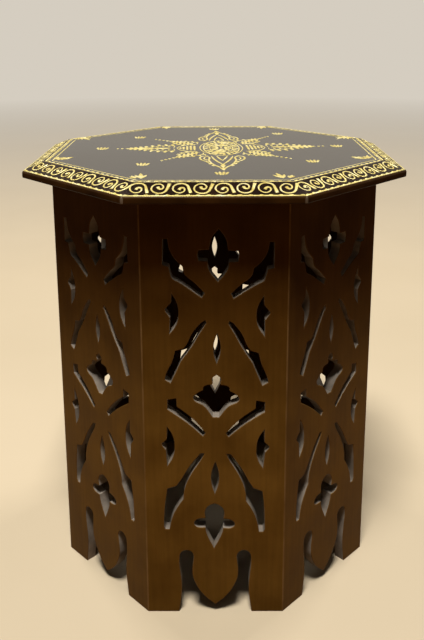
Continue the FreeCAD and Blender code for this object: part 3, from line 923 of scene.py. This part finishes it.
def mark_faces(board):
    """Sawn walls take the dull finish, painted paler as caught light. The rounded corners are marked
    for worn paint with a painted highlight, and a little the soft arrises of the openings."""
    mesh = board.data
    wear_and_highlight = mesh.attributes.new("wear_and_highlight", "FLOAT", "FACE")
    for face, value in zip(mesh.polygons, wear_and_highlight.data):
        from_corner = FACE_WIDTH / 2 - abs(face.center.x)
        depth = face.center.y + FACE_DISTANCE
        wall = abs(face.normal.y) < 0.3 and face.center.z < BOARD_HEIGHT - MM
        face.material_index = 1 if wall and from_corner > MITRE_ZONE else 0
        front = depth < SOFT_EDGE
        corner = front and from_corner < WEAR_AND_HIGHLIGHT_STRIP and 0.05 < abs(face.normal.x) < 0.5
        arris = front and depth > 0.02 * MM and face.normal.y < -0.2
        value.value = CORNER_WEAR_AND_HIGHLIGHT if corner else ARRIS_WEAR_AND_HIGHLIGHT if arris else 0


def finished_board(slip):
    """A board with its finishes and shading, sawn to the slipped template or the true one."""
    board = sawn_board(slip)
    dress(board, BROWN_LACQUER, SAWN_LACQUER)
    mark_faces(board)
    finish_shading(board, 30)
    return board


def boards():
    """The eight boards of the base: the front one, and seven equal ones copied from one."""
    ring = [finished_board(slip=True)]
    square = finished_board(slip=False)
    for place, side in enumerate(SIDE_NAMES[1:], start=1):
        ring.append(copy_turned(square, f"pierced_board_{side}", place * TURN))
    bpy.data.objects.remove(square)
    return ring


# The table
top = lacquered_top()
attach(top, BODY)
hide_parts("table_top")

for gilding in (border(), field()):
    dress(gilding, GOLD_PAINT)
    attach(gilding, BODY)

for board_piece, side_name in zip(boards(), SIDE_NAMES):
    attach(board_piece, BODY)
    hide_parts(f"side_panel_{side_name}")

for node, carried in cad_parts.items():
    if node.startswith(("corner_block", "top_cleat")):
        dress(carried, BARE_WOOD)
    elif node == "cleat_screws":
        dress(carried, ZINC)


# The studio. The background is bright for the camera and in a gloss, and dim as a light.
AMBIENT = 0.025
BACKGROUND = 0.83
BACKGROUND_COLOUR = (0.80, 0.735, 0.635)
FLOOR_RADIUS = 9
# Distances from the table between which the floor goes dark in a gloss, and turns into the
# background for the camera
GLOSS_FADES = (0.5, 0.9)
FLOOR_FADES = (1.0, 5.0)
# The floor as a light, and its dark part in a gloss
BOUNCE_COLOUR = (0.25, 0.13, 0.045)
DARK_COLOUR = (0.01, 0.008, 0.006)
LAMP_AIM = (0, 0, 0.2)
KEY_PLACE = (-0.25, -1.5, 4.6)
KEY_SIZE = (1.0, 0.9)
KEY_WATTS = 265
BACK_PLACE = (1.5, 1.5, 3.2)
BACK_SIZE = (0.6, 0.6)
BACK_WATTS = 38
# The photograph's own view
CAMERA_PLACE = (0.0010, -0.8466, 0.6065)
CAMERA_DEGREES = (77.057, 0.228, 0.208)
SENSOR_WIDTH = 36
LENS = 42.94
LENS_SHIFT = (0.0004, -0.203)


def sight(nodes, links):
    """Two values: 1 for what the camera sees itself or through glass, and 1 for what is
    seen in a gloss."""
    path = nodes.new("ShaderNodeLightPath")
    eye = calculated(nodes, links, "MAXIMUM", path.outputs["Is Camera Ray"],
                     path.outputs["Is Transmission Ray"])
    return eye, path.outputs["Is Glossy Ray"]


def studio_floor():
    """A plain pale floor that fades into the background far behind the table."""
    bpy.ops.mesh.primitive_circle_add(vertices=96, radius=FLOOR_RADIUS, fill_type="NGON",
                                      location=(0, 0, 0))
    floor = bpy.context.object
    floor.name = "studio_floor"
    material, nodes, links, shader = new_material("pale_floor")
    place = place_pattern(nodes, links)
    eye, gloss = sight(nodes, links)
    distance = nodes.new("ShaderNodeVectorMath")
    distance.operation = "LENGTH"
    links.new(place, distance.inputs[0])
    away = to_range(nodes, links, distance.outputs["Value"], 0, 1, *GLOSS_FADES)
    seen = calculated(nodes, links, "MAXIMUM", eye, gloss)
    dark = calculated(nodes, links, "MULTIPLY", gloss, away)
    pale = ramp(nodes, links, noise(nodes, links, place, 3, 3),
                [(0.3, (0.56, 0.45, 0.295)), (0.7, (0.59, 0.475, 0.315))])
    lit = mix(nodes, links, seen, BOUNCE_COLOUR, pale)
    links.new(mix(nodes, links, dark, lit, DARK_COLOUR), shader.inputs["Base Color"])
    shader.inputs["Roughness"].default_value = 0.7
    shader.inputs["Specular IOR Level"].default_value = 0.2
    far = to_range(nodes, links, distance.outputs["Value"], 0, 1, *FLOOR_FADES)
    share = calculated(nodes, links, "MULTIPLY", eye, far)
    haze = nodes.new("ShaderNodeEmission")
    haze.inputs["Color"].default_value = (*BACKGROUND_COLOUR, 1)
    haze.inputs["Strength"].default_value = BACKGROUND
    blend = nodes.new("ShaderNodeMixShader")
    links.new(share, blend.inputs["Fac"])
    links.new(shader.outputs[0], blend.inputs[1])
    links.new(haze.outputs[0], blend.inputs[2])
    links.new(blend.outputs[0], nodes["Material Output"].inputs["Surface"])
    dress(floor, material)


def soft_lamp(name, place, size, watts):
    """A lamp with a rectangular soft front, pointed at the table."""
    bpy.ops.object.light_add(type="AREA", location=place)
    lamp = bpy.context.object
    lamp.name = name
    lamp.data.shape = "RECTANGLE"
    lamp.data.size, lamp.data.size_y = size
    lamp.data.energy = watts
    lamp.rotation_euler = (Vector(LAMP_AIM) - Vector(place)).to_track_quat("-Z", "Y").to_euler()


def studio():
    """Floor, background and three soft lamps: one in front and two behind."""
    studio_floor()
    world = bpy.data.worlds.new("studio")
    bpy.context.scene.world = world
    world.use_nodes = True
    nodes, links = world.node_tree.nodes, world.node_tree.links
    back = nodes["Background"]
    back.inputs["Color"].default_value = (*BACKGROUND_COLOUR, 1)
    seen = calculated(nodes, links, "MAXIMUM", *sight(nodes, links))
    strength = to_range(nodes, links, seen, AMBIENT, BACKGROUND, 0, 1)
    links.new(strength, back.inputs["Strength"])
    soft_lamp("key", KEY_PLACE, KEY_SIZE, KEY_WATTS)
    x, y, z = BACK_PLACE
    soft_lamp("back_left", (-x, y, z), BACK_SIZE, BACK_WATTS)
    soft_lamp("back_right", (x, y, z), BACK_SIZE, BACK_WATTS)


def camera():
    """The camera at the photograph's angle."""
    lens = bpy.data.cameras.new("camera")
    lens.sensor_width = SENSOR_WIDTH
    lens.lens = LENS
    lens.shift_x, lens.shift_y = LENS_SHIFT
    view = bpy.data.objects.new("camera", lens)
    view.location = CAMERA_PLACE
    view.rotation_euler = [math.radians(angle) for angle in CAMERA_DEGREES]
    bpy.context.scene.collection.objects.link(view)
    bpy.context.scene.camera = view


studio()
camera()
bpy.context.scene.view_settings.view_transform = "Standard"
